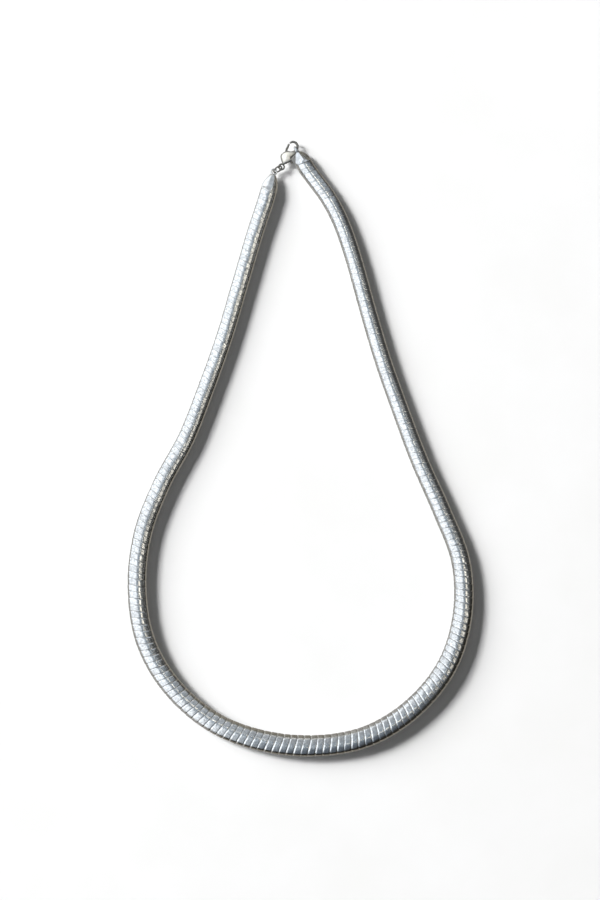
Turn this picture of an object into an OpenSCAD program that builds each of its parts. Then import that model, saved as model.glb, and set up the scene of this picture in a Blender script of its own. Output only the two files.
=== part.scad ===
// Graduated round snake chain necklace with end caps and a lobster clasp, lying closed on a flat surface.
// Millimetres. +Z is up, +Y runs from the front of the necklace towards its clasp.
// The origin is the centre of the loop's outline, on the surface that the chain lies on.

/* [Chain] */
// Width of the chain at the front of the necklace
front_w = 6.4; // [6:0.1:6.8]
// Width of the chain where it enters the end caps
end_w = 5.0; // [4.6:0.1:5.2]
// Length of chain over which the width swells, on each side of the front
swell_len = 166; // [120:1:190]
// Link pitch at the front
front_pitch = 2.12; // [2:0.02:2.3]
// Link pitch at the end caps
end_pitch = 1.55; // [1.5:0.01:1.7]
// Slant of the seams between the links, seen from above
seam_slant = 11; // [0:1:12]
// Share of the pitch that stays open as the seam
seam_share = 0.17; // [0.16:0.01:0.2]

/* [Links] */
// Wall of a link, as a share of its outer radius
wall_share = 0.14; // [0.12:0.01:0.15]
// Radius of the mouth that the next neck passes through, as a share of the outer radius
mouth_share = 0.7; // [0.68:0.01:0.72]
// Radius of the neck, as a share of the outer radius
neck_share = 0.62; // [0.58:0.01:0.63]
// Radius of the open bore, as a share of the outer radius
bore_share = 0.48; // [0.4:0.01:0.52]
// Clearance between a neck's bead and the wall round it
bead_gap = 0.16; // [0.14:0.01:0.18]

/* [End caps] */
// Length of the left cap from the chain to the middle of its eyelet
left_cap_len = 6.2; // [5.8:0.1:6.4]
// Length of the right cap from the chain to the middle of its eyelet
right_cap_len = 4.8; // [4.7:0.1:5.2]

/* [Clasp] */
// Direction of the clasp from its tail ring to its hook, in degrees from +X
clasp_heading = 61.5; // [60:0.5:63]
// Radius of the clasp's rounded body
body_r = 1.95; // [1.9:0.05:2]
// Thickness of the body at its middle
body_t = 2.6; // [2.4:0.1:2.8]
// Diameter of the wire that forms the hook
hook_wire = 0.76; // [0.7:0.02:0.8]
// Thickness of the lever
lever_t = 0.9; // [0.8:0.05:0.95]
// Radius of the rivet pin that the lever turns on
rivet_r = 0.3; // [0.25:0.05:0.35]

/* [Hidden] */
$fn = 48;
overlap = 0.05;
reach = 20;

// Route of the chain's centre line, seen from above: down the left side, round the front, up the right side.
// The first and last points only set the direction at the ends. Columns: x, y.
route = [
    [-6.2, 91.6],
    [-9.5, 77.5], [-13.65, 64.6], [-18.2, 49.1], [-22.8, 33.6], [-28.15, 18.6], [-34.05, 3.7],
    [-41.55, -10.3], [-47.25, -25.4], [-48.9, -41.5], [-46.3, -57.4], [-38.4, -71.0], [-26.0, -81.6],
    [-11.05, -87.25], [5.0, -88.7], [20.6, -85.7], [34.15, -77.15], [44.2, -64.6], [48.75, -49.5],
    [48.25, -33.5], [42.6, -18.4], [36.0, -3.5], [30.5, 11.0], [25.0, 26.5], [20.5, 41.5],
    [16.2, 57.0], [12.4, 68.05], [8.15, 76.15], [1.2, 85.9],
    [-0.55, 93.4]
];
span_steps = 10;
span_n = len(route) - 3;

// Point at share t of the way from p1 to p2, on the smooth curve through four points
function curve_at(p0, p1, p2, p3, t) =
    0.5 * (2 * p1 + (p2 - p0) * t + (2 * p0 - 5 * p1 + 4 * p2 - p3) * t * t
           + (3 * p1 - p0 - 3 * p2 + p3) * t * t * t);
function span_at(i, t) = curve_at(route[i], route[i + 1], route[i + 2], route[i + 3], t);

path = [
    for (i = [0 : span_n - 1], k = [0 : span_steps - 1]) span_at(i, k / span_steps),
    route[span_n + 1]
];
path_n = len(path);
path_s = [for (i = 0, s = 0; i < path_n; s = s + norm(path[min(i + 1, path_n - 1)] - path[i]), i = i + 1) s];
chain_len = path_s[path_n - 1];
x_table = [for (i = [0 : path_n - 1]) [path_s[i], path[i].x]];
y_table = [for (i = [0 : path_n - 1]) [path_s[i], path[i].y]];

// Place, heading, radius and pitch of the chain at the distance s from its left end
function place_at(s) = [lookup(s, x_table), lookup(s, y_table)];
function heading_at(s) =
    let (a = place_at(max(0, s - 1)), b = place_at(min(chain_len, s + 1)))
    atan2(b.y - a.y, b.x - a.x);
function from_front(s) = abs(s - chain_len / 2);
function radius_at(s) =
    end_w / 2 + (front_w - end_w) / 2 * (0.5 + 0.5 * cos(180 * min(1, from_front(s) / swell_len)));
function pitch_at(s) =
    front_pitch - (front_pitch - end_pitch) * pow(from_front(s) * 2 / chain_len, 1.2);

// Running count of links along the route, and its inverse
count_at = [
    for (i = 0, c = 0; i < path_n;
         c = c + (path_s[min(i + 1, path_n - 1)] - path_s[i]) / pitch_at(path_s[i]), i = i + 1) c
];
links = round(count_at[path_n - 1]);
s_table = [for (i = [0 : path_n - 1]) [count_at[i] / count_at[path_n - 1] * links, path_s[i]]];
function link_s(i) = lookup(i + 0.5, s_table);
function link_pitch(i) = lookup(min(links, i + 1), s_table) - lookup(max(0, i), s_table);

// Shares of the pitch taken by the lip round the mouth, by the play before and behind a bead, and by the bead
lip_share = 0.15;
play_share = 0.12;
bead_share = 0.12;

end_r = end_w / 2;
start_place = place_at(0);
start_heading = heading_at(0);
finish_place = place_at(chain_len);
finish_heading = heading_at(chain_len);

// Rings of wire: mean radius and wire radius
left_eye_r = 0.8;
left_eye_wire = 0.25;
right_eye_r = 0.95;
right_eye_wire = 0.25;
jump_wire = 0.23;
jump_lean = 25;
tail_r = 0.8;
tail_wire = 0.26;

// Profiles of the caps. Columns: share of the way from the chain to the eyelet, share of the end radius
left_profile = [
    [0.24, 1], [0.38, 0.95], [0.52, 0.84], [0.66, 0.70], [0.80, 0.55], [0.93, 0.40], [1, 0.30]
];
right_profile = [
    [0.26, 1], [0.42, 0.96], [0.56, 0.85], [0.68, 0.71], [0.80, 0.54], [0.92, 0.35], [1, 0.22]
];
behind_seam = 1;

// Middle of each eyelet
left_eye = start_place - left_cap_len * [cos(start_heading), sin(start_heading)];
right_eye = finish_place + right_cap_len * [cos(finish_heading), sin(finish_heading)];

// Clasp, in its own frame: x from the tail ring to the hook, y towards the gate
body_x = 3.3;
shank_r = 0.6;
shank_x = 1.2;
dome_r = 3.2;
hook_r = 1.33;
hook_x = 7.05;
hook_y = -0.1;
hook_tip = 68;
arm_y = hook_y - hook_r;
eye_on_arm = 6.6;
pivot = [3.5, 0.1];
hub_r = 0.7;
rivet_play = 0.05;
slot_t = lever_t + 0.2;
slot_play = 0.15;
gate_end = 7.1;
tab = [2.6, -2.05];
tab_r = 0.35;
shoulder_x = 5.5;
rivet_head_r = 0.45;
rivet_head_t = 0.25;
rivet_proud = 0.05;

// Outlines in the clasp's frame. Columns: x, y
tail_wedge = [[shank_x, shank_r], [shank_x, -shank_r], [2.3, -0.9 * body_r], [2.3, 0.9 * body_r]];
arm_root = [[body_x, -body_r], [shoulder_x, -1.81], [shoulder_x, -1.05], [4.5, -0.4]];
tab_slot = [[3.0, 0.4], [1.45, -1.25], [1.1, -2.3], [1.1, -4.0], [3.4, -4.0], [4.1, 0]];
gate_slot = [[3.3, -0.4], [6.0, -0.4], [6.0, 3.0], [3.6, 3.0]];
gate_arm = [[3.1, 0.5], [5.0, 1.5], [gate_end, 1.55], [gate_end, 0.95], [5.2, 0.75], [4.1, -0.1]];

// The clasp is placed so that its hook passes through the middle of the right eyelet
clasp_dir = [cos(clasp_heading), sin(clasp_heading)];
clasp_side = [-sin(clasp_heading), cos(clasp_heading)];
clasp_tail = right_eye - eye_on_arm * clasp_dir - arm_y * clasp_side;
jump_middle = (left_eye + clasp_tail) / 2;
jump_r = norm(clasp_tail - left_eye) / 2;
jump_heading = atan2(clasp_tail.y - left_eye.y, clasp_tail.x - left_eye.x);

// Everything between two parallel slanted planes that cross the chain's axis at a and b
module slab(a, b) {
    rotate([0, 0, -seam_slant])
        translate([a * cos(seam_slant), -reach / 2, -reach / 2])
            cube([(b - a) * cos(seam_slant), reach, reach]);
}

// Slanted slice of a rod of radius r on the X axis, from a to b
module slice(r, a, b) {
    intersection() {
        rotate([0, 90, 0]) cylinder(r = r, h = reach, center = true);
        slab(a, b);
    }
}

// Disc of radius r between two slanted planes that cross the chain's axis at a and b, centred on that axis
module disc(r, a, b) {
    translate([(a + b) / 2, 0, 0])
        rotate([0, 0, -seam_slant])
            rotate([0, 90, 0])
                cylinder(r = r, h = (b - a) * cos(seam_slant), center = true);
}

// Neck that leaves a face at x and ends in a bead behind the next mouth
module neck_and_bead(r, x, pitch) {
    seam = seam_share * pitch;
    bead_x = x + seam + (lip_share + play_share) * pitch;
    disc(neck_share * r, x - overlap, bead_x + overlap);
    disc((1 - wall_share) * r - bead_gap, bead_x, bead_x + bead_share * pitch);
}

// Space behind a face at x that takes the neck and bead of the link before
module mouth(r, x, pitch) {
    lip = lip_share * pitch;
    room = (2 * play_share + bead_share) * pitch;
    disc(mouth_share * r, x - 1, x + lip + overlap);
    disc((1 - wall_share) * r, x + lip, x + lip + room);
}

// One link, its middle at the origin, the chain running along +X
module link(r, pitch) {
    half = (1 - seam_share) * pitch / 2;
    difference() {
        union() {
            slice(r, -half, half);
            neck_and_bead(r, half, pitch);
        }
        mouth(r, -half, pitch);
        rotate([0, 90, 0]) cylinder(r = bore_share * r, h = 4 * pitch, center = true);
    }
}

module at_route(place, heading, z) {
    translate([place.x, place.y, z]) rotate([0, 0, heading]) children();
}

module chain() {
    color("silver")
    for (i = [0 : links - 1]) {
        s = link_s(i);
        at_route(place_at(s), heading_at(s), radius_at(s)) link(radius_at(s), link_pitch(i));
    }
}

// Bell along +X from the slanted seam at x = start, narrowing from the chain's radius towards its eyelet
module bell(profile, length, start) {
    difference() {
        rotate([90, 0, 90]) rotate_extrude()
            polygon([
                [0, -behind_seam],
                [end_r, -behind_seam],
                for (p = profile) [p.y * end_r, p.x * length],
                [0, length]
            ]);
        slab(-2 * behind_seam, start);
    }
}

module wire_ring(mean_r, wire_r) {
    rotate_extrude() translate([mean_r, 0]) circle(r = wire_r);
}

module end_cap_left() {
    start = seam_share * end_pitch / 2;
    color("silver")
    at_route(start_place, start_heading, end_r) {
        rotate([0, 0, 180]) bell(left_profile, left_cap_len - left_eye_r, start);
        neck_and_bead(end_r, -start, end_pitch);
        translate([-left_cap_len, 0, 0]) wire_ring(left_eye_r, left_eye_wire);
    }
}

module end_cap_right() {
    start = seam_share * end_pitch / 2;
    color("silver")
    at_route(finish_place, finish_heading, end_r) {
        difference() {
            bell(right_profile, right_cap_len - right_eye_r, start);
            mouth(end_r, start, end_pitch);
        }
        translate([right_cap_len, 0, 0]) rotate([90, 0, 0]) wire_ring(right_eye_r, right_eye_wire);
    }
}

module jump_ring() {
    color("silver")
    at_route(jump_middle, jump_heading, end_r) rotate([90 - jump_lean, 0, 0]) wire_ring(jump_r, jump_wire);
}

// Plate of thickness t about the clasp's middle plane
module plate(outline, t) {
    translate([0, 0, -t / 2]) linear_extrude(t) polygon(outline);
}

// Rounded body, domed on both faces
module clasp_shell() {
    intersection() {
        union() {
            translate([body_x, 0, 0]) cylinder(r = body_r, h = body_t, center = true);
            plate(tail_wedge, body_t);
            plate(arm_root, body_t);
        }
        translate([body_x, 0, body_t / 2 - dome_r]) sphere(r = dome_r);
        translate([body_x, 0, dome_r - body_t / 2]) sphere(r = dome_r);
    }
}

// Slot in which the lever turns: round the hub, out to the thumb tab, and out to the gate
module lever_slot() {
    translate([pivot.x, pivot.y, 0]) cylinder(r = hub_r + slot_play, h = slot_t, center = true);
    plate(tab_slot, slot_t);
    plate(gate_slot, slot_t);
}

module clasp_body() {
    wire_r = hook_wire / 2;
    color("gainsboro")
    at_route(clasp_tail, clasp_heading, end_r) {
        wire_ring(tail_r, tail_wire);
        translate([tail_r, 0, 0]) rotate([0, 90, 0]) cylinder(r = shank_r * 0.75, h = shank_x);
        difference() {
            clasp_shell();
            lever_slot();
        }
        translate([body_x + 1, arm_y, 0]) rotate([0, 90, 0]) cylinder(r = wire_r, h = hook_x - body_x - 1);
        translate([hook_x, hook_y, 0])
            rotate([0, 0, -90])
                rotate_extrude(angle = 90 + hook_tip) translate([hook_r, 0]) circle(r = wire_r);
        translate([pivot.x, pivot.y, 0]) {
            cylinder(r = rivet_r, h = body_t * 0.8, center = true);
            for (side = [0, 180]) rotate([side, 0, 0])
                translate([0, 0, body_t / 2 + rivet_proud - rivet_head_t])
                    cylinder(r = rivet_head_r, h = rivet_head_t);
        }
    }
}

// Gate arm from the hub to the hook's tip, and a thumb tab on the other side
module lever_arms() {
    tab_way = pivot - tab;
    plate(gate_arm, lever_t);
    translate([tab.x, tab.y, 0]) {
        cylinder(r = tab_r, h = lever_t, center = true);
        rotate([0, 0, atan2(tab_way.y, tab_way.x)])
            translate([0, -tab_r, -lever_t / 2]) cube([norm(tab_way), 2 * tab_r, lever_t]);
    }
}

module clasp_lever() {
    color("gainsboro")
    at_route(clasp_tail, clasp_heading, end_r)
    difference() {
        union() {
            translate([pivot.x, pivot.y, 0]) cylinder(r = hub_r, h = lever_t, center = true);
            lever_arms();
        }
        translate([pivot.x, pivot.y, 0]) cylinder(r = rivet_r + rivet_play, h = body_t * 2, center = true);
    }
}

chain();
end_cap_left();
end_cap_right();
jump_ring();
clasp_body();
clasp_lever();
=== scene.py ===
import math

import bmesh
import bpy
import numpy as np
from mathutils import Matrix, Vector


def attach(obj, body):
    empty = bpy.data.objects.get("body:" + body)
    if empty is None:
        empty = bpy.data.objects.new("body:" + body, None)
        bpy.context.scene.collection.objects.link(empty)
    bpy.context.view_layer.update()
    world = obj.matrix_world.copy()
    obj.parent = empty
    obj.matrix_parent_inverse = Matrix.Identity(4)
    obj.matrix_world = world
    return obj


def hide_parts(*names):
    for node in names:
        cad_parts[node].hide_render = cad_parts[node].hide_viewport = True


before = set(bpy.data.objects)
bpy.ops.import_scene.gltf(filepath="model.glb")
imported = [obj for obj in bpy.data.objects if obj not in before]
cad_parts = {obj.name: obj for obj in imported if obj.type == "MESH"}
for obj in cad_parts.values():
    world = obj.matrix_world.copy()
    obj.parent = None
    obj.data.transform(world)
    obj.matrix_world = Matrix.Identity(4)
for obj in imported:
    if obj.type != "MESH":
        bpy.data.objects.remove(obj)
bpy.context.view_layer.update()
mm = 0.001
scene = bpy.context.scene
scene.view_settings.view_transform = "Standard"

# lengths in millimetres and angles in degrees, unless a note says otherwise
chain = {
    "frontWidth": 6.39,
    "endWidth": 5.0,
    "swellLength": 166,
    "frontPitch": 2.12,
    "endPitch": 1.55,
    "pitchFade": 1.2,      # above 1 the links stay long further from the front
    "seamSlant": 11,
    "seamSway": 0.05,      # how far a seam bows as it crosses the strand
    "swayCurve": (1.3, 2.2),     # the bow grows with the way across and falls back with its cube
    # at the strand's ends and at its front: how much of the profile's rounded lips is kept
    "lipLength": (0.34, 1.0),
    "lipDepth": (0.2542, 1.0),
    "lipEdges": (-0.5, 0.495),   # where a link ends, in shares of the pitch; the lips shrink towards these
    "sides": 44,
    "sharpAngle": 55,
    "seed": 41,
    "linkTilt": 0.034,     # links never sit quite in line, so each mirrors the room a little differently
    "filmSpread": 0.15,    # and some are polished brighter than others
    # once round a link's wall, from the mouth over the band to the neck and back through the bore:
    # share of the pitch along the link, share of the strand's radius
    "linkProfile": [
        (-0.478, 0.800), (-0.497, 0.880), (-0.499, 0.945), (-0.490, 0.953), (-0.470, 0.9585),
        (-0.430, 0.967), (-0.380, 0.978), (-0.300, 0.996), (-0.270, 1.000), (-0.230, 1.000),
        (0.280, 1.000), (0.360, 1.000), (0.410, 0.996), (0.450, 0.989), (0.475, 0.980),
        (0.489, 0.968), (0.494, 0.955), (0.493, 0.880), (0.478, 0.800), (0.590, 0.770),
        (0.640, 0.700), (0.300, 0.580), (-0.280, 0.580), (-0.300, 0.800),
    ],
    "bandShare": 0.9,      # profile points beyond this share of the radius belong to the outer band
    "nearLip": (-0.33, -0.27),   # the near lip keeps the bright silver as a painted highlight, and between these the grey film sets in
    "farLip": (0.28, 0.36),      # between these painted shade comes onto the far lip
    "farLipShade": (0.6, 0.25),   # how dark that painted shade is, at the strand's ends and at its front
    "seamDarkening": (0.930, 0.810),  # shares of the radius between which the colour darkens deeper into a seam
    "filmBase": 0.46,      # grey film all over a link
    "farEdgeShade": 0.54,      # and painted shade on top of it towards the far edge
    "filmReach": (0.02, 0.47),
    "filmCurve": 1.3,
    "filmShare": (0.28, 1.0),    # how much of it all there is, at the strand's ends and at its front
    "points": [            # x, y of the route, the same as the solids follow
        (-6.2, 91.6),
        (-9.5, 77.5), (-13.65, 64.6), (-18.2, 49.1), (-22.8, 33.6), (-28.15, 18.6), (-34.05, 3.7),
        (-41.55, -10.3), (-47.25, -25.4), (-48.9, -41.5), (-46.3, -57.4), (-38.4, -71.0), (-26.0, -81.6),
        (-11.05, -87.25), (5.0, -88.7), (20.6, -85.7), (34.15, -77.15), (44.2, -64.6), (48.75, -49.5),
        (48.25, -33.5), (42.6, -18.4), (36.0, -3.5), (30.5, 11.0), (25.0, 26.5), (20.5, 41.5),
        (16.2, 57.0), (12.4, 68.05), (8.15, 76.15), (1.2, 85.9),
        (-0.55, 93.4),
    ],
    "stepsPerSpan": 10,
}


def routePoint(p0, p1, p2, p3, t):
    return 0.5 * (2 * p1 + (p2 - p0) * t + (2 * p0 - 5 * p1 + 4 * p2 - p3) * t ** 2
                  + (3 * p1 - p0 - 3 * p2 + p3) * t ** 3)


def layRoute():
    pts = np.array(chain["points"], float)
    steps = chain["stepsPerSpan"]
    run = [routePoint(*pts[i:i + 4], k / steps) for i in range(len(pts) - 3) for k in range(steps)]
    run = np.array(run + [pts[-2]])
    gone = np.r_[0, np.cumsum(np.hypot(*np.diff(run, axis=0).T))]
    return run, gone


route, runLength = layRoute()
chainLength = runLength[-1]


def placeAt(s):
    # past the ends the strand goes on straight, for the last necks and lips
    s = np.asarray(s, float)
    over = s - np.clip(s, 0, chainLength)
    x = np.interp(s, runLength, route[:, 0])
    y = np.interp(s, runLength, route[:, 1])
    for end, mask in ((0.0, over < 0), (chainLength, over > 0)):
        if np.any(mask):
            h = headingAt(end)
            x = np.where(mask, x + over * math.cos(h), x)
            y = np.where(mask, y + over * math.sin(h), y)
    return x, y


def headingAt(s):
    s = np.asarray(s, float)
    back, ahead = np.clip(s - 1, 0, chainLength), np.clip(s + 1, 0, chainLength)
    dx = np.interp(ahead, runLength, route[:, 0]) - np.interp(back, runLength, route[:, 0])
    dy = np.interp(ahead, runLength, route[:, 1]) - np.interp(back, runLength, route[:, 1])
    return np.arctan2(dy, dx)


def radiusAt(s):
    fromFront = np.abs(np.clip(s, 0, chainLength) - chainLength / 2)
    swell = 0.5 + 0.5 * np.cos(np.pi * np.minimum(1, fromFront / chain["swellLength"]))
    return chain["endWidth"] / 2 + (chain["frontWidth"] - chain["endWidth"]) / 2 * swell


def countLinks():
    fromFront = np.abs(runLength[:-1] - chainLength / 2)
    fade = (fromFront * 2 / chainLength) ** chain["pitchFade"]
    pitch = chain["frontPitch"] - (chain["frontPitch"] - chain["endPitch"]) * fade
    count = np.r_[0, np.cumsum(np.diff(runLength) / pitch)]
    links = round(count[-1])
    return links, count / count[-1] * links


linkCount, countTable = countLinks()
print("route laid:", linkCount, "links on", round(float(chainLength), 1), "mm")


def rise(value, start, stop):
    return np.clip((value - start) / (stop - start), 0, 1)


def seamSway(across):
    grow, fall = chain["swayCurve"]
    return chain["seamSway"] * (grow * across - fall * across ** 3)


def linkMesh(index, wobble):
    # ring by ring round the profile; the strand's bend runs through each link
    start, middle, stop = np.interp([index, index + 0.5, index + 1], countTable, runLength)
    pitch = stop - start
    angle = np.linspace(0, 2 * np.pi, chain["sides"], endpoint=False)
    across, up = np.cos(angle), np.sin(angle)
    lean = math.tan(math.radians(chain["seamSlant"]))
    verts, seamDarkAndShade, filmAndShade, uvs = [], [], [], []
    base = float(radiusAt(middle))
    thicker = (base * 2 - chain["endWidth"]) / (chain["frontWidth"] - chain["endWidth"])

    def towardsFront(key):
        atEnds, atFront = chain[key]
        return atEnds + (atFront - atEnds) * thicker

    for along, share in chain["linkProfile"]:
        body = rise(along, *chain["nearLip"])
        # painted shade on each link's far lip
        farLip = rise(along, *chain["farLip"]) * towardsFront("farLipShade")
        inBand = share > chain["bandShare"]
        if inBand:
            edge = chain["lipEdges"][1 if along > 0 else 0]
            along = edge + (along - edge) * towardsFront("lipLength")
            share = 1 - (1 - share) * towardsFront("lipDepth")
        s = middle + along * pitch + across * share * base * lean + seamSway(across) * base
        tilt = along * pitch * (wobble[0] * across + wobble[1] * up)
        x, y = placeAt(s)
        z = radiusAt(s)        # it lies on the table, so its middle is one radius up
        h = headingAt(s)
        r = np.minimum(share * base + tilt * inBand, z)
        verts.append(np.c_[x - np.sin(h) * across * r, y + np.cos(h) * across * r, z + up * r])
        # the seams darken deeper in the profile; the far lip's painted shade joins them in one mark
        seamDarkAndShade.append(np.full(len(angle), max(farLip, rise(share, *chain["seamDarkening"]))))
        # grey film over the link, painted shade towards its far edge and a random tone per link
        farther = rise(along, *chain["filmReach"]) ** chain["filmCurve"]
        greyAndShade = chain["filmBase"] * body + chain["farEdgeShade"] * farther
        filmAndShade.append(np.full(len(angle), greyAndShade * towardsFront("filmShare") + wobble[2] * body))
        uvs.append(np.c_[s, angle * base])
    return np.array(verts), np.array(seamDarkAndShade), np.array(filmAndShade), np.array(uvs)


def strandPiece(name, first, last):
    rng = np.random.default_rng(chain["seed"] + first)
    sides, rings = chain["sides"], len(chain["linkProfile"])
    allVerts, allSeamDarkAndShade, allFilmAndShade, allUvs, faces = [], [], [], [], []
    for n, index in enumerate(range(first, last)):
        wobble = np.r_[rng.normal(0, chain["linkTilt"], 2), rng.normal(0, chain["filmSpread"])]
        verts, seamDarkAndShade, filmAndShade, uvs = linkMesh(index, wobble)
        base = n * sides * rings
        for j in range(rings):
            for k in range(sides):
                a, b = base + j * sides + k, base + j * sides + (k + 1) % sides
                c, d = base + (j + 1) % rings * sides + (k + 1) % sides, base + (j + 1) % rings * sides + k
                faces.append((a, b, c, d))
        allVerts.append(verts.reshape(-1, 3))
        allSeamDarkAndShade.append(seamDarkAndShade.ravel())
        allFilmAndShade.append(filmAndShade.ravel())
        allUvs.append(uvs.reshape(-1, 2))
    verts = np.concatenate(allVerts) * mm
    mesh = bpy.data.meshes.new(name)
    mesh.from_pydata(verts.tolist(), [], faces)
    mesh.validate()
    mesh.shade_smooth()
    mesh.set_sharp_from_angle(angle=math.radians(chain["sharpAngle"]))
    for label, values in (("seamDarkAndLipShade", allSeamDarkAndShade), ("filmAndPaintedShade", allFilmAndShade)):
        mark = mesh.attributes.new(label, "FLOAT", "POINT")
        mark.data.foreach_set("value", np.concatenate(values).astype(np.float32))
    layer = mesh.uv_layers.new(name="alongAndAround")
    flat = np.concatenate(allUvs)
    loopVerts = np.zeros(len(mesh.loops), np.int32)
    mesh.loops.foreach_get("vertex_index", loopVerts)
    layer.data.foreach_set("uv", flat[loopVerts].astype(np.float32).ravel())
    piece = bpy.data.objects.new(name, mesh)
    scene.collection.objects.link(piece)
    return piece


def shader(name):
    mat = bpy.data.materials.new(name)
    mat.use_nodes = True
    tree = mat.node_tree
    tree.nodes.clear()
    surface = tree.nodes.new("ShaderNodeBsdfPrincipled")
    out = tree.nodes.new("ShaderNodeOutputMaterial")
    tree.links.new(surface.outputs[0], out.inputs[0])
    return mat, tree, surface


def noiseNode(tree, vector, scale, detail=4.0, roughness=0.55, stretch=None):
    if stretch:
        spread = tree.nodes.new("ShaderNodeMapping")
        spread.inputs["Scale"].default_value = stretch
        tree.links.new(vector, spread.inputs["Vector"])
        vector = spread.outputs[0]
    noise = tree.nodes.new("ShaderNodeTexNoise")
    noise.inputs["Scale"].default_value = scale
    noise.inputs["Detail"].default_value = detail
    noise.inputs["Roughness"].default_value = roughness
    tree.links.new(vector, noise.inputs["Vector"])
    return noise.outputs[0]


def rangeNode(tree, value, fromLow=0, fromHigh=1, toLow=0, toHigh=1):
    node = tree.nodes.new("ShaderNodeMapRange")
    node.inputs["From Min"].default_value = fromLow
    node.inputs["From Max"].default_value = fromHigh
    node.inputs["To Min"].default_value = toLow
    node.inputs["To Max"].default_value = toHigh
    tree.links.new(value, node.inputs["Value"])
    return node.outputs[0]


def mathNode(tree, kind, a, b=0.0):
    node = tree.nodes.new("ShaderNodeMath")
    node.operation = kind
    for socket, value in zip(node.inputs, (a, b)):
        if isinstance(value, (int, float)):
            socket.default_value = value
        else:
            tree.links.new(value, socket)
    return node.outputs[0]


def mixColour(tree, factor, a, b):
    node = tree.nodes.new("ShaderNodeMix")
    node.data_type = "RGBA"
    tree.links.new(factor, node.inputs["Factor"])
    for socket, value in ((node.inputs[6], a), (node.inputs[7], b)):
        if isinstance(value, tuple):
            socket.default_value = (*value, 1)
        else:
            tree.links.new(value, socket)
    return node.outputs[2]


patternMiddle = (0.3, 0.7)    # most of a noise pattern's values lie between these

# a larger scale makes a finer pattern; four numbers are its value, from and to, and the effect at each
chainFinish = {
    "silver": (0.88, 0.865, 0.835),
    "worn": (0.56, 0.55, 0.53),
    "filmAndShade": (0.50, 0.49, 0.47),     # thin and grey, heaviest towards each link's far edge, where it is painted shade
    # this colour darkens the depth of the seams and is painted shade on each link's far lip
    "tarnish": (0.48, 0.455, 0.41),
    "cloudScale": 420,
    "mottleScale": 1500,
    "streakScale": 1.6,             # streaks and polish are laid out in millimetres, the rest in metres
    "streakStretch": (1.0, 0.45, 1),
    "mottleWear": (0.44, 0.60, 0.0, 0.75),
    "streakWear": (0.48, 0.62, 0.0, 0.55),
    "cloudWear": (0.36, 0.60, 0.45, 1.0),
    "filmPatches": (0.38, 0.58, 0.6, 1.0),
    "roughness": 0.10,
    "roughnessSpread": 0.10,
    "seamRoughness": 0.25,          # what it adds where the seams darken and where the far lip's painted shade lies
    "polishScale": 9,
    "polishStretch": (6, 0.7, 1),
    "polishDepth": 0.0016,          # fine lines left by polishing round each link
    "dentScale": 2400,
    "dentDepth": 0.030,             # slow unevenness of the stamped links
}


def chainSilver(look):
    mat, tree, surface = shader("polishedLinkSilver")
    place = tree.nodes.new("ShaderNodeTexCoord").outputs["Object"]
    flat = tree.nodes.new("ShaderNodeUVMap")
    flat.uv_map = "alongAndAround"
    seamDarkAndShade = tree.nodes.new("ShaderNodeAttribute")
    seamDarkAndShade.attribute_name = "seamDarkAndLipShade"
    filmAndShade = tree.nodes.new("ShaderNodeAttribute")
    filmAndShade.attribute_name = "filmAndPaintedShade"
    cloudy = noiseNode(tree, place, look["cloudScale"], 5)
    mottled = noiseNode(tree, place, look["mottleScale"], 3, 0.65)
    streaks = noiseNode(tree, flat.outputs[0], look["streakScale"], 4, 0.7, look["streakStretch"])
    polish = noiseNode(tree, flat.outputs[0], look["polishScale"], 3, 0.6, look["polishStretch"])
    dents = noiseNode(tree, place, look["dentScale"], 3)
    handled = mathNode(tree, "ADD", rangeNode(tree, mottled, *look["mottleWear"]),
                       rangeNode(tree, streaks, *look["streakWear"]))
    handled = mathNode(tree, "MULTIPLY", handled, rangeNode(tree, cloudy, *look["cloudWear"]))
    colour = mixColour(tree, rangeNode(tree, handled), look["silver"], look["worn"])
    # the grey film, with painted shade towards each link's far edge
    greyedAndShaded = mathNode(tree, "MULTIPLY", filmAndShade.outputs["Fac"], rangeNode(tree, mottled, *look["filmPatches"]))
    colour = mixColour(tree, rangeNode(tree, greyedAndShaded), colour, look["filmAndShade"])
    # darker deep in the seams, and painted shade on each link's far lip
    colour = mixColour(tree, seamDarkAndShade.outputs["Fac"], colour, look["tarnish"])
    tree.links.new(colour, surface.inputs["Base Color"])
    roughest = look["roughness"] + look["roughnessSpread"]
    rough = rangeNode(tree, polish, *patternMiddle, look["roughness"], roughest)
    seamRough = mathNode(tree, "MULTIPLY", seamDarkAndShade.outputs["Fac"], look["seamRoughness"])
    rough = mathNode(tree, "ADD", rough, seamRough)
    tree.links.new(rough, surface.inputs["Roughness"])
    surface.inputs["Metallic"].default_value = 1.0
    height = mathNode(tree, "ADD", mathNode(tree, "MULTIPLY", polish, look["polishDepth"] * mm),
                      mathNode(tree, "MULTIPLY", dents, look["dentDepth"] * mm))
    bump = tree.nodes.new("ShaderNodeBump")
    bump.inputs["Distance"].default_value = 1.0
    tree.links.new(height, bump.inputs["Height"])
    tree.links.new(bump.outputs[0], surface.inputs["Normal"])
    return mat


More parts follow.
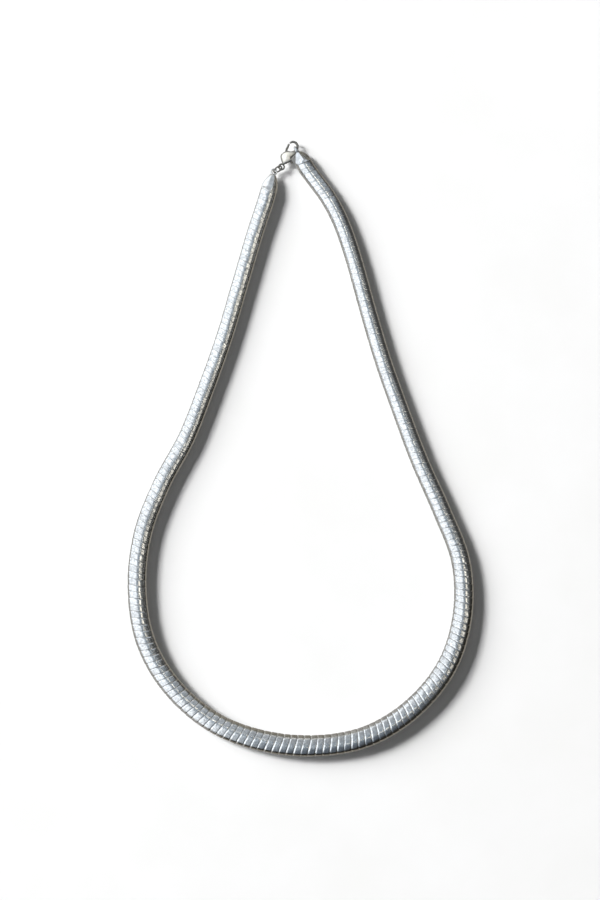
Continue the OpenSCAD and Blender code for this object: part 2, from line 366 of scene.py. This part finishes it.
castMarks = {                  # the same on caps and clasp
    "cloudScale": 700,
    "cloudWear": (0.42, 0.7, 0, 1),
    "cornerCloud": 0.05,       # how unevenly corners are marked
    "hollows": (0.495, 0.455, 0, 1),   # pointiness of the hollows that hold tarnish
    "edges": (0.56, 0.62, 0, 1),       # pointiness of the edges that are rubbed bright
    "rubbed": (0.95, 0.94, 0.92),
    "rubbedPolish": 0.05,      # how much smoother they are
    "scratchScale": 900,
    "scratchStretch": (8, 1, 3),
    "dentScale": 1100,
}
capFinish = {
    "silver": (0.66, 0.655, 0.64),
    "worn": (0.50, 0.495, 0.485),
    "tarnish": (0.34, 0.31, 0.26),
    "roughness": 0.14,
    "roughnessSpread": 0.16,
    "scratchDepth": 0.0012,
    "dentDepth": 0.004,
}
litCap = {                    # a lit copy of the cap finish: the left cap is painted brighter than the right one, as painted light
    "silver": (0.82, 0.805, 0.77),
    "worn": (0.68, 0.66, 0.63),
}
claspFinish = {
    "silver": (0.93, 0.90, 0.81),
    "worn": (0.80, 0.76, 0.67),
    "tarnish": (0.22, 0.19, 0.14),
    # painted shade: the dark colour on the clasp's hook, shank, tail and steep sides, and on the jump ring
    # and gate
    "paintedShade": (0.105, 0.095, 0.08),
    "shadePatches": (0.35, 0.60, 1.0, 0.75),
    "shadeSides": (0.10, 0.30),        # how steep the metal stands where painted shade comes in
    "satin": 0.42,             # where there is no painted shade the casting is less mirror-like than the links
    "roughness": 0.24,
    "roughnessSpread": 0.16,
    "scratchDepth": 0.0016,
    "dentDepth": 0.006,
}


def castSilver(name, finish):
    look = {**castMarks, **finish}
    mat, tree, surface = shader(name)
    place = tree.nodes.new("ShaderNodeTexCoord").outputs["Object"]
    pointy = tree.nodes.new("ShaderNodeNewGeometry").outputs["Pointiness"]
    cloudy = noiseNode(tree, place, look["cloudScale"], 5)
    scratches = noiseNode(tree, place, look["scratchScale"], 3, 0.6, look["scratchStretch"])
    dents = noiseNode(tree, place, look["dentScale"], 2)
    handled = rangeNode(tree, cloudy, *look["cloudWear"])
    colour = mixColour(tree, handled, look["silver"], look["worn"])
    corners = mathNode(tree, "ADD", pointy, mathNode(tree, "MULTIPLY", cloudy, look["cornerCloud"]))
    colour = mixColour(tree, rangeNode(tree, corners, *look["hollows"]), colour, look["tarnish"])
    rubbed = rangeNode(tree, corners, *look["edges"])
    colour = mixColour(tree, rubbed, colour, look["rubbed"])
    surface.inputs["Metallic"].default_value = 1.0
    if "paintedShade" in look:        # the clasp and the jump ring carry painted shade, the caps have none
        shadeMask = tree.nodes.new("ShaderNodeAttribute")
        shadeMask.attribute_name = "shadeMask"
        patches = rangeNode(tree, cloudy, *look["shadePatches"])
        paintedShade = mathNode(tree, "MULTIPLY", shadeMask.outputs["Fac"], patches)
        colour = mixColour(tree, paintedShade, colour, look["paintedShade"])
        metal = rangeNode(tree, shadeMask.outputs["Fac"], toLow=look["satin"])
        tree.links.new(metal, surface.inputs["Metallic"])
    tree.links.new(colour, surface.inputs["Base Color"])
    roughest = look["roughness"] + look["roughnessSpread"]
    rough = rangeNode(tree, scratches, *patternMiddle, look["roughness"], roughest)
    rough = mathNode(tree, "SUBTRACT", rough, mathNode(tree, "MULTIPLY", rubbed, look["rubbedPolish"]))
    tree.links.new(rough, surface.inputs["Roughness"])
    height = mathNode(tree, "ADD", mathNode(tree, "MULTIPLY", scratches, look["scratchDepth"] * mm),
                      mathNode(tree, "MULTIPLY", dents, look["dentDepth"] * mm))
    bump = tree.nodes.new("ShaderNodeBump")
    bump.inputs["Distance"].default_value = 1.0
    tree.links.new(height, bump.inputs["Height"])
    tree.links.new(bump.outputs[0], surface.inputs["Normal"])
    return mat


linkSilver = chainSilver(chainFinish)
capSilver = castSilver("polishedCapSilver", capFinish)
litCapSilver = castSilver("litCapSilver", {**capFinish, **litCap})
claspSilver = castSilver("castClaspSilver", claspFinish)
print("finishes mixed")

# the strand in three pieces: down the left, round the front and up the right
thirds = [0, linkCount // 3, 2 * linkCount // 3, linkCount]
for side, first, last in zip(("leftStrand", "frontStrand", "rightStrand"), thirds, thirds[1:]):
    strand = strandPiece(side, first, last)
    strand.data.materials.append(linkSilver)
    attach(strand, "necklace")
    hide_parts("chain")
print("strand threaded")


def skin(rings, wrap=False):
    # quads between rings of points; unless the rings come round again, a fan closes each end
    rings = np.asarray(rings, float)
    m, n = rings.shape[:2]
    verts, faces = rings.reshape(-1, 3), []
    for j in range(m if wrap else m - 1):
        a, b = j * n, (j + 1) % m * n
        faces += [(a + k, a + (k + 1) % n, b + (k + 1) % n, b + k) for k in range(n)]
    if not wrap:
        verts = np.vstack([verts, rings[0].mean(0), rings[-1].mean(0)])
        last = (m - 1) * n
        faces += [((k + 1) % n, k, m * n) for k in range(n)]
        faces += [(last + k, last + (k + 1) % n, m * n + 1) for k in range(n)]
    return verts, faces


def standing(x, y, z, heading, lean=0.0):
    # turns the local x axis to the heading; lean tips a piece about that axis
    h, t = math.radians(heading), math.radians(lean)
    turn = np.array([[math.cos(h), -math.sin(h), 0], [math.sin(h), math.cos(h), 0], [0, 0, 1]])
    tip = np.array([[1, 0, 0], [0, math.cos(t), -math.sin(t)], [0, math.sin(t), math.cos(t)]])
    return turn @ tip, np.array([x, y, z])


castSharpAngle = 38            # edges of caps and clasp that turn more than this stay crisp


def cutPiece(name, shells, stand, finish):
    turn, origin = stand
    verts, faces = [], []
    for shellVerts, shellFaces in shells:
        start = len(verts)
        verts += [tuple(v) for v in (shellVerts @ turn.T + origin) * mm]
        faces += [tuple(i + start for i in face) for face in shellFaces]
    mesh = bpy.data.meshes.new(name)
    mesh.from_pydata(verts, [], faces)
    smoothOver(mesh)
    mesh.materials.append(finish)
    piece = bpy.data.objects.new(name, mesh)
    scene.collection.objects.link(piece)
    return piece


def smoothOver(mesh):
    work = bmesh.new()
    work.from_mesh(mesh)
    bmesh.ops.recalc_face_normals(work, faces=work.faces)
    work.to_mesh(mesh)
    work.free()
    mesh.shade_smooth()
    mesh.set_sharp_from_angle(angle=math.radians(castSharpAngle))


def paintShade(piece, stand, tone):
    # painted shade, by its place along the clasp and by how steeply it stands
    turn, origin = stand
    spots = np.array([v.co[:] for v in piece.data.vertices]) / mm - origin
    steep = 1 - np.abs([n.vector.z for n in piece.data.vertex_normals])
    shade = np.maximum(tone((spots @ turn)[:, 0]), rise(steep, *claspFinish["shadeSides"]))
    mark = piece.data.attributes.new("shadeMask", "FLOAT", "POINT")
    mark.data.foreach_set("value", shade.astype(np.float32))


def fit(piece, body, node):
    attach(piece, body)
    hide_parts(node)


ringWire = {
    "steps": 64,
    "sides": 18,
    "solder": (0.14, 0.16),    # how much the wire swells at its joint, and over what way in radians
    "rubbed": (0.05, 0.5, 0.3),  # how much thinner it is beside that, how far off and over what way
}


def wireRing(meanRadius, wire, flat=(1.0, 1.0), joint=None):
    # a ring in its own xy plane; flat scales its thickness, from one end of the x axis to the other
    swell, swellWay = ringWire["solder"]
    thin, thinOff, thinWay = ringWire["rubbed"]
    rings = []
    t = np.linspace(0, 2 * np.pi, ringWire["sides"], endpoint=False)
    for a in np.linspace(0, 2 * np.pi, ringWire["steps"], endpoint=False):
        r = wire
        if joint is not None:
            off = (a - math.radians(joint) + np.pi) % (2 * np.pi) - np.pi
            thinner = thin * math.exp(-((abs(off) - thinOff) / thinWay) ** 2)
            r = wire * (1 + swell * math.exp(-(off / swellWay) ** 2) - thinner)
        out = meanRadius + r * np.cos(t)
        rings.append(np.c_[out * math.cos(a), out * math.sin(a),
                           (flat[1] + (flat[0] - flat[1]) * (1 - math.cos(a)) / 2) * r * np.sin(t)])
    return skin(rings, wrap=True)


bothCaps = {
    "endRadius": 2.5,
    "sides": 72,
    "facetStart": (0.4, 0.9),  # mm from the seam where the facets begin, and over what way they deepen
    "slantEnd": 2.2,           # mm from the seam where the bell stands square
}


def bell(cap, side):
    # rings from inside the seam over the rim and along the bell to its tip; side is the way to the tip
    angle = np.linspace(0, 2 * np.pi, bothCaps["sides"], endpoint=False)
    across, up = np.cos(angle), np.sin(angle)
    edge = bothCaps["endRadius"]
    lean = math.tan(math.radians(chain["seamSlant"]))
    flat = np.ones(len(angle))
    for first, last in zip(cap["ridges"], cap["ridges"][1:]):
        # between two ridges the bell is hammered nearly flat
        middle, half = math.radians((first + last) / 2), math.radians((last - first) / 2)
        off = np.abs((angle - middle + np.pi) % (2 * np.pi) - np.pi)
        flat = np.where(off < half, math.cos(half) / np.cos(np.minimum(off, half)), flat)
    start, way = bothCaps["facetStart"]
    rings = []
    for u, share in cap["profile"]:
        reach = min(1.0, max(0.0, (u - start) / way))
        r = share * edge * (1 - cap["flatness"] * reach * reach * (3 - 2 * reach) * (1 - flat))
        slant = (across * share * lean + seamSway(across)) * edge
        slant = slant * max(0.0, 1 - max(0.0, u) / bothCaps["slantEnd"])
        rings.append(np.c_[side * u + slant, across * r, up * r])
    return skin(rings)


leftCap = {
    "stand": (-9.5, 77.5, 2.5, -105.93),   # x, y, z and heading
    "ridges": [-5, 67, 163],   # degrees round the bell, 90 is its top
    "flatness": 0.60,
    # from the chain to the tip: mm along, share of the chain's radius
    "profile": [
        (-0.21, 0.40), (-0.22, 0.70), (-0.14, 0.78), (0.03, 0.83), (0.02, 0.925), (0.034, 0.965),
        (0.074, 0.988), (0.13, 0.999), (0.34, 1.000), (0.42, 0.993), (0.46, 0.972), (0.52, 0.966),
        (0.60, 0.972), (0.90, 0.975), (1.30, 0.970), (1.80, 0.950), (2.30, 0.905), (2.80, 0.845),
        (3.30, 0.770), (3.80, 0.680), (4.25, 0.590), (4.65, 0.505), (5.00, 0.425), (5.25, 0.350),
        (5.38, 0.270), (5.43, 0.150),
    ],
    "eyelet": 6.2,             # from the seam to the eyelet's middle
    "eyeletRadius": 0.8,
    "eyeletWire": 0.25,
}
rightCap = {
    "stand": (1.2, 85.9, 2.5, 119.12),
    "ridges": [26, 100, 172],
    "flatness": 0.88,
    "profile": [
        (0.34, 0.30), (0.31, 0.82), (0.034, 0.80), (0.002, 0.865), (0.006, 0.92), (0.037, 0.958),
        (0.093, 0.980), (0.186, 0.995), (0.34, 1.000), (0.46, 0.996), (0.52, 0.980), (0.58, 0.975),
        (0.68, 0.978), (0.95, 0.972), (1.25, 0.950), (1.60, 0.910), (1.95, 0.855), (2.30, 0.790),
        (2.65, 0.710), (3.00, 0.625), (3.30, 0.550), (3.60, 0.470), (3.85, 0.385), (4.02, 0.300),
        (4.12, 0.215), (4.16, 0.110),
    ],
    "eyelet": 4.8,
    "eyeletRadius": 0.95,
    "eyeletWire": 0.25,
    "eyeletFlat": (2.3, 1.2),  # thick where it leaves the bell, thinner at its end
}


def capPieces():
    stand = standing(*leftCap["stand"])
    # the left cap gets the lit copy of the cap finish, as painted light
    fit(cutPiece("leftCapBell", [bell(leftCap, -1)], stand, litCapSilver),
        "necklace", "end_cap_left")
    verts, faces = wireRing(leftCap["eyeletRadius"], leftCap["eyeletWire"])
    fit(cutPiece("leftCapEyelet", [(verts - [leftCap["eyelet"], 0, 0], faces)], stand, litCapSilver),
        "necklace", "end_cap_left")
    stand = standing(*rightCap["stand"])
    fit(cutPiece("rightCapBell", [bell(rightCap, 1)], stand, capSilver),
        "necklace", "end_cap_right")
    verts, faces = wireRing(rightCap["eyeletRadius"], rightCap["eyeletWire"], rightCap["eyeletFlat"])
    upright = np.c_[verts[:, 0] + rightCap["eyelet"], -verts[:, 2], verts[:, 1]]
    fit(cutPiece("rightCapEyelet", [(upright, faces)], stand, capSilver),
        "necklace", "end_cap_right")


capPieces()

jumpRing = {
    "stand": (-6.67008, 84.2186, 2.5, 33.855, 65),   # x, y, z, heading and lean
    "radius": 1.35837,
    "wire": 0.23,
    "joint": 200,              # degrees round the ring to its soldered joint
    # how much painted shade the jump ring carries
    "darkness": 0.95,
}
loopStand = standing(*jumpRing["stand"])
loopWire = wireRing(jumpRing["radius"], jumpRing["wire"], joint=jumpRing["joint"])
loop = cutPiece("solderedJumpRing", [loopWire], loopStand, claspSilver)
paintShade(loop, loopStand, lambda along: jumpRing["darkness"])
fit(loop, "necklace", "jump_ring")
print("caps and jump ring made")

clasp = {
    "stand": (-5.54201, 84.9753, 2.5, 61.5),
    "sides": 48,
    "tailRadius": 0.8,
    "tailWire": 0.26,
    # how much painted shade the tail ring carries
    "tailDarkness": 0.95,
    "darkTail": (1.9, 1.1),    # mm along the clasp between which painted shade comes in towards its tail
    "darkHook": (4.9, 5.9),    # and towards its hook
    # x, y, half width, half thickness of the casting from its tail over the belly into the hook's arm
    "spine": [
        (0.55, 0.0, 0.30, 0.26), (0.85, 0.0, 0.40, 0.34), (1.20, 0.0, 0.55, 0.50),
        (1.70, 0.0, 1.05, 0.82), (2.30, 0.0, 1.62, 1.10), (3.00, 0.0, 1.92, 1.27),
        (3.60, -0.03, 1.84, 1.28), (4.20, -0.26, 1.50, 1.15), (4.75, -0.70, 1.02, 0.92),
        (5.25, -1.08, 0.70, 0.68), (5.75, -1.32, 0.50, 0.50), (6.30, -1.42, 0.40, 0.41),
        (6.75, -1.43, 0.38, 0.38), (7.05, -1.43, 0.38, 0.38),
    ],
    "hookMiddle": (7.05, -0.1),
    "hookRadius": 1.33,
    "hookTurn": (-80, 66, 22),  # degrees from the arm round to the tip, and in how many rows
    "hookWire": 0.38,
    "tipWire": 0.31,
    "tipRounding": [(2.5, 0.93), (5.0, 0.78), (7.0, 0.50)],  # degrees past the tip, share of its wire
    "pivot": (3.5, 0.1),
    "rivetRadius": 0.30,
    "rivetReach": 1.0,         # half the length of its pin
    # round the rivet's dome: radius, height
    "rivetDome": [
        (0.28, 0.90), (0.45, 1.00), (0.46, 1.22), (0.42, 1.29), (0.33, 1.33), (0.20, 1.347),
        (0.08, 1.35),
    ],
    "slotThickness": 1.1,
    "hubRoom": 0.85,
    "tabSlot": [(3.0, 0.4), (1.45, -1.25), (1.1, -2.3), (1.1, -4.0), (3.4, -4.0), (4.1, 0.0)],
    "gateSlot": [(3.3, -0.4), (6.0, -0.4), (6.0, 3.0), (3.6, 3.0)],
}
lever = {
    # x, y, half width, half thickness from the thumb tab over the hub to the gate's end
    "spine": [
        (2.47, -2.33, 0.20, 0.33), (2.52, -2.22, 0.31, 0.42), (2.62, -2.00, 0.35, 0.45),
        (2.85, -1.45, 0.35, 0.45), (3.15, -0.75, 0.42, 0.45), (3.38, -0.20, 0.62, 0.45),
        (3.50, 0.10, 0.68, 0.45), (3.85, 0.45, 0.60, 0.45), (4.35, 0.72, 0.45, 0.44),
        (5.00, 1.08, 0.37, 0.42), (5.70, 1.18, 0.33, 0.40), (6.50, 1.23, 0.30, 0.38),
        (7.00, 1.25, 0.29, 0.36), (7.08, 1.25, 0.24, 0.30),
    ],
    "sides": 36,
    "squareness": 0.62,        # 1 is round, less fills the corners out
    "holeRadius": 0.35,
    "holeDepth": 2.0,
    # how much painted shade the gate carries
    "darkness": 0.9,
}


def smoothSpine(rows, steps=4):
    rows = np.array(rows, float)
    rows = np.vstack([2 * rows[0] - rows[1], rows, 2 * rows[-1] - rows[-2]])
    run = [routePoint(*rows[i:i + 4], k / steps) for i in range(len(rows) - 3) for k in range(steps)]
    return np.array(run + [rows[-2]])


def sweep(rows, sides, square=1.0):
    # sections stand square to the spine; square below 1 fills their corners out
    way = np.gradient(rows[:, :2], axis=0)
    way /= np.linalg.norm(way, axis=1)[:, None]
    t = np.linspace(0, 2 * np.pi, sides, endpoint=False)
    c, s = (np.sign(w) * np.abs(w) ** square for w in (np.cos(t), np.sin(t)))
    return skin([np.c_[x - w[1] * c * wide, y + w[0] * c * wide, s * thick]
                 for (x, y, wide, thick), w in zip(rows, way)])


def prism(outline, thick):
    flat = np.array(outline, float)
    return skin([np.c_[flat, np.full(len(flat), z)] for z in (-thick / 2, thick / 2)])


def roundOutline(x, y, r, sides=40):
    t = np.linspace(0, 2 * np.pi, sides, endpoint=False)
    return np.c_[x + r * np.cos(t), y + r * np.sin(t)]


def roundRing(x, y, r, z):
    flat = roundOutline(x, y, r)
    return np.c_[flat, np.full(len(flat), z)]


def carve(piece, outline, thick, stand):
    cutter = cutPiece("cutter", [prism(outline, thick)], stand, claspSilver)
    cut = piece.modifiers.new("cut", "BOOLEAN")
    cut.operation, cut.solver, cut.object = "DIFFERENCE", "EXACT", cutter
    shaped = piece.evaluated_get(bpy.context.evaluated_depsgraph_get())
    mesh = bpy.data.meshes.new_from_object(shaped)
    piece.modifiers.clear()
    piece.data = mesh
    mesh.shade_smooth()
    mesh.set_sharp_from_angle(angle=math.radians(castSharpAngle))
    mesh.materials.clear()
    mesh.materials.append(claspSilver)
    bpy.data.objects.remove(cutter)


def hookRows():
    # from the arm round to the tip, the wire thinning and rounded off at its end
    cx, cy = clasp["hookMiddle"]
    arm, tip, count = clasp["hookTurn"]
    rows = []

    def addRow(degrees, wire):
        a, r = math.radians(degrees), clasp["hookRadius"]
        rows.append((cx + r * math.cos(a), cy + r * math.sin(a), wire, wire))

    for degrees in np.linspace(arm, tip, count):
        share = (degrees - arm) / (tip - arm)
        addRow(degrees, clasp["hookWire"] + (clasp["tipWire"] - clasp["hookWire"]) * share)
    for step, share in clasp["tipRounding"]:
        addRow(tip + step, clasp["tipWire"] * share)
    return rows


def claspPieces():
    stand = standing(*clasp["stand"])
    rows = np.vstack([smoothSpine(clasp["spine"]), hookRows()])
    casting = cutPiece("claspCasting", [sweep(rows, clasp["sides"])], stand, claspSilver)
    thick = clasp["slotThickness"]
    for outline in (roundOutline(*clasp["pivot"], clasp["hubRoom"]), clasp["tabSlot"], clasp["gateSlot"]):
        carve(casting, outline, thick, stand)
    tail = cutPiece("claspTailRing", [wireRing(clasp["tailRadius"], clasp["tailWire"])], stand, claspSilver)
    dome = [roundRing(*clasp["pivot"], r, z) for r, z in clasp["rivetDome"]]
    under = [ring * [1, 1, -1] for ring in dome]
    reach = clasp["rivetReach"]
    pin = [roundRing(*clasp["pivot"], clasp["rivetRadius"], z) for z in (-reach, reach)]
    rivet = cutPiece("claspRivet", [skin(dome), skin(under), skin(pin)], stand, claspSilver)

    def shadedEnds(along):
        # painted shade on the hook, the shank and the tail; the belly is left pale
        return np.maximum(rise(along, *clasp["darkHook"]), rise(along, *clasp["darkTail"]))

    paintShade(casting, stand, shadedEnds)
    paintShade(tail, stand, lambda along: clasp["tailDarkness"])
    for piece in (casting, tail, rivet):
        fit(piece, "necklace", "clasp_body")
    bar = sweep(smoothSpine(lever["spine"]), lever["sides"], lever["squareness"])
    gate = cutPiece("claspGate", [bar], stand, claspSilver)
    carve(gate, roundOutline(*clasp["pivot"], lever["holeRadius"]), lever["holeDepth"], stand)
    paintShade(gate, stand, lambda along: lever["darkness"])
    fit(gate, "lever", "clasp_lever")


claspPieces()
print("clasp cast and its gate hung")

table = {
    "half": 2.2,               # metres
    "colour": (0.86, 0.86, 0.86),
    "grey": (0.84, 0.84, 0.835),
    "patchScale": 30,
    "patches": (0.35, 0.65),
    "roughness": 0.75,
    "shine": 0.2,
}


def whiteTable():
    h = table["half"]
    mesh = bpy.data.meshes.new("whiteTable")
    mesh.from_pydata([(-h, -h, 0), (h, -h, 0), (h, h, 0), (-h, h, 0)], [], [(0, 1, 2, 3)])
    top = bpy.data.objects.new("whiteTable", mesh)
    scene.collection.objects.link(top)
    mat, tree, surface = shader("mattWhiteTop")
    place = tree.nodes.new("ShaderNodeTexCoord").outputs["Object"]
    faint = rangeNode(tree, noiseNode(tree, place, table["patchScale"], 3), *table["patches"])
    tree.links.new(mixColour(tree, faint, table["colour"], table["grey"]), surface.inputs["Base Color"])
    surface.inputs["Roughness"].default_value = table["roughness"]
    surface.inputs["Specular IOR Level"].default_value = table["shine"]
    mesh.materials.append(mat)
    top.visible_glossy = False  # the metal mirrors the room's ground tone


whiteTable()

light = {                      # metres and watts
    "softBoxWay": (-0.87, 0.49, 0.915),  # towards the soft box, from the middle of the strand
    "softBoxSize": (1.15, 1.15),
    "softBoxPower": 258.0,
    "wideBoxWay": (-0.87, 0.49, 0.58),
    "wideBoxSize": (4.0, 2.2),
    "wideBoxPower": 222.0,
    "boxesAway": 5.0,
    "fillHeight": 1.6,
    "fillSize": 1.9,
    "fillPower": 3.3,
}
room = {
    "ceiling": (0.34, 0.415, 0.50),
    "northWestSide": (0.53, 0.59, 0.66),
    "northSide": (0.49, 0.54, 0.60),
    "westWall": (1.31, 1.41, 1.54),
    "westFoot": (0.46, 0.46, 0.45),
    "southSide": (0.155, 0.185, 0.23),
    "eastSide": (0.165, 0.178, 0.192),
    "eastFoot": (0.040, 0.038, 0.033),
    "eastPane": (3.1, 3.0, 2.7),
    # pale panes in the east, in degrees: middle bearing, half width, middle height, half height
    "panes": [
        (-28, 3, 41, 17), (-20, 1.5, 43, 17), (-12, 3, 42, 18), (2, 7, 60, 11),
        (22, 1.5, 43, 9), (48, 13, 70, 6), (-50, 12, 74, 5),
    ],
    "paneSoftness": (0.05, 0.08),
    "northStrip": (1.14, 1.17, 1.18),
    "northFoot": (0.27, 0.26, 0.22),
    "skirting": (0.018, 0.016, 0.013),
    "ground": (0.33, 0.31, 0.27),
    # where one tone gives way to the next, from and to; heights and ways run from -1 to 1
    "northWestEdge": (-0.10, 0.36),
    "northEdge": (0.12, 0.55),
    "northLean": 0.3,          # a lean draws an edge back from the neighbouring side
    "eastEdge": (0.08, 0.45),
    "eastLean": 0.9,
    "southEdge": (0.25, 0.82),
    "southLean": 2.2,
    "eastFootTop": (0.62, 0.04),
    "eastFootEdge": (0.05, 0.35),
    "eastFootLean": 1.1,
    "stripHeight": (0.06, 0.17, 0.10),  # middle, half height, softness
    "stripEdge": (0.30, 0.70),
    "stripLean": 2.2,
    "footEdge": (-0.2, 0.5),
    "footTop": (0.0, -0.12),
    "groundTop": (-0.42, -0.64),
    "wallEdge": (-0.03, 0.22),
    "wallSouthReach": 0.25,
    "wallNorthLean": 1.2,      # the wall ends sooner in the north the higher it goes
    "wallSouthLean": (1.2, 2.0),
    "wallFootTop": -0.24,      # height of the wall's grey foot due west
    "wallFootTilt": (-0.34, 0.75),  # from how far south it sinks towards the north, and how steeply
    "wallFootRise": (0.35, 2.0),    # from how far north it rises again, and how steeply
    "wallFootSoftness": 0.26,
}


def lampPanel(name, place, size, power):
    lamp = bpy.data.lights.new(name, "AREA")
    lamp.shape = "RECTANGLE"
    lamp.size, lamp.size_y = size
    lamp.energy = power
    panel = bpy.data.objects.new(name, lamp)
    panel.location = place
    panel.rotation_euler = (-Vector(place)).to_track_quat("-Z", "Y").to_euler()
    panel.visible_glossy = False  # the metal mirrors the room alone
    scene.collection.objects.link(panel)


def studioLight():
    for box in ("softBox", "wideBox"):
        way = Vector(light[box + "Way"]).normalized() * light["boxesAway"]
        lampPanel(box + "West", way, light[box + "Size"], light[box + "Power"])
    above = (0, 0, light["fillHeight"])
    lampPanel("fillAbove", above, (light["fillSize"], light["fillSize"]), light["fillPower"])


def stepNode(tree, value, low, high):
    node = tree.nodes.new("ShaderNodeMapRange")
    node.interpolation_type = "SMOOTHSTEP"
    node.inputs["From Min"].default_value = low
    node.inputs["From Max"].default_value = high
    tree.links.new(value, node.inputs["Value"])
    return node.outputs[0]


def studioRoom():
    # what the polished links mirror: a pale wall to the west, open and darker to the east and south
    world = bpy.data.worlds.new("studioRoom")
    scene.world = world
    world.use_nodes = True
    tree = world.node_tree
    tree.nodes.clear()
    way = tree.nodes.new("ShaderNodeTexCoord").outputs["Generated"]
    split = tree.nodes.new("ShaderNodeSeparateXYZ")
    tree.links.new(way, split.inputs[0])
    x, y, z = split.outputs

    def times(a, b):
        return mathNode(tree, "MULTIPLY", a, b)

    def minus(a, b):
        return mathNode(tree, "SUBTRACT", a, b)

    def most(a, b):
        return mathNode(tree, "MAXIMUM", a, b)

    def plus(a, b):
        return mathNode(tree, "ADD", a, b)

    def band(value, middle, half, soft):
        off = mathNode(tree, "ABSOLUTE", minus(value, middle))
        return stepNode(tree, minus(half, off), 0.0, soft)

    def below(top, bottom):
        return stepNode(tree, minus(top, z), 0.0, top - bottom)

    def edge(value, key):
        return stepNode(tree, value, *room[key])

    north, south = most(y, 0.0), most(times(y, -1.0), 0.0)
    east, west, high = most(x, 0.0), most(times(x, -1.0), 0.0), most(z, 0.0)
    # the ceiling, paler to the north and west
    colour = mixColour(tree, edge(times(x, -1.0), "northWestEdge"), room["ceiling"], room["northWestSide"])
    side = edge(minus(minus(north, times(east, room["northLean"])), west), "northEdge")
    colour = mixColour(tree, side, colour, room["northSide"])
    side = edge(minus(x, times(north, room["eastLean"])), "eastEdge")
    colour = mixColour(tree, side, colour, room["eastSide"])
    side = edge(minus(south, times(west, room["southLean"])), "southEdge")
    colour = mixColour(tree, side, colour, room["southSide"])
    # the east side darkens downwards, with a few pale panes above
    side = edge(minus(x, times(north, room["eastFootLean"])), "eastFootEdge")
    colour = mixColour(tree, times(below(*room["eastFootTop"]), side), colour, room["eastFoot"])
    bearing = mathNode(tree, "ARCTAN2", y, x)
    height = mathNode(tree, "ARCSINE", z)
    sideways, upwards = room["paneSoftness"]
    for pane in room["panes"]:
        middle, wide, level, tall = (math.radians(a) for a in pane)
        lit = times(band(bearing, middle, wide, sideways), band(height, level, tall, upwards))
        colour = mixColour(tree, lit, colour, room["eastPane"])
    # a pale strip low in the north, over the skirting and the ground
    side = edge(minus(y, times(east, room["stripLean"])), "stripEdge")
    colour = mixColour(tree, times(band(z, *room["stripHeight"]), side), colour, room["northStrip"])
    foot = mixColour(tree, edge(minus(y, x), "footEdge"), room["skirting"], room["northFoot"])
    colour = mixColour(tree, below(*room["footTop"]), colour, foot)
    colour = mixColour(tree, below(*room["groundTop"]), colour, room["ground"])
    # the pale wall in the west; its foot is grey
    lean, pull = room["wallSouthLean"]
    wall = plus(west, times(south, room["wallSouthReach"]))
    wall = minus(wall, times(north, times(high, room["wallNorthLean"])))
    wall = minus(wall, times(most(minus(south, times(west, lean)), 0.0), pull))
    tiltStart, tilt = room["wallFootTilt"]
    riseStart, steepness = room["wallFootRise"]
    footTop = minus(room["wallFootTop"], times(most(y, tiltStart), tilt))
    footTop = plus(footTop, times(most(minus(y, riseStart), 0.0), steepness))
    wallColour = mixColour(tree, stepNode(tree, minus(footTop, z), 0.0, room["wallFootSoftness"]),
                           room["westWall"], room["westFoot"])
    colour = mixColour(tree, edge(wall, "wallEdge"), colour, wallColour)
    back = tree.nodes.new("ShaderNodeBackground")
    tree.links.new(colour, back.inputs["Color"])
    out = tree.nodes.new("ShaderNodeOutputWorld")
    tree.links.new(back.outputs[0], out.inputs["Surface"])
    world.cycles_visibility.diffuse = False


studioLight()
studioRoom()

view = {
    "height": 1.2,             # metres above the strand's middle
    "strandMiddle": 0.003,
    "frameHeight": 0.27,       # how much of the table the picture's long side shows
    "sensor": 36.0,
    "clip": (0.05, 20),
}


def overheadCamera():
    cam = bpy.data.cameras.new("overhead")
    cam.sensor_width = view["sensor"]
    cam.lens = view["sensor"] * view["height"] / view["frameHeight"]
    cam.clip_start, cam.clip_end = view["clip"]
    holder = bpy.data.objects.new("overhead", cam)
    holder.location = (0, 0, view["height"] + view["strandMiddle"])
    scene.collection.objects.link(holder)
    scene.camera = holder


overheadCamera()
print("table, light and camera set")
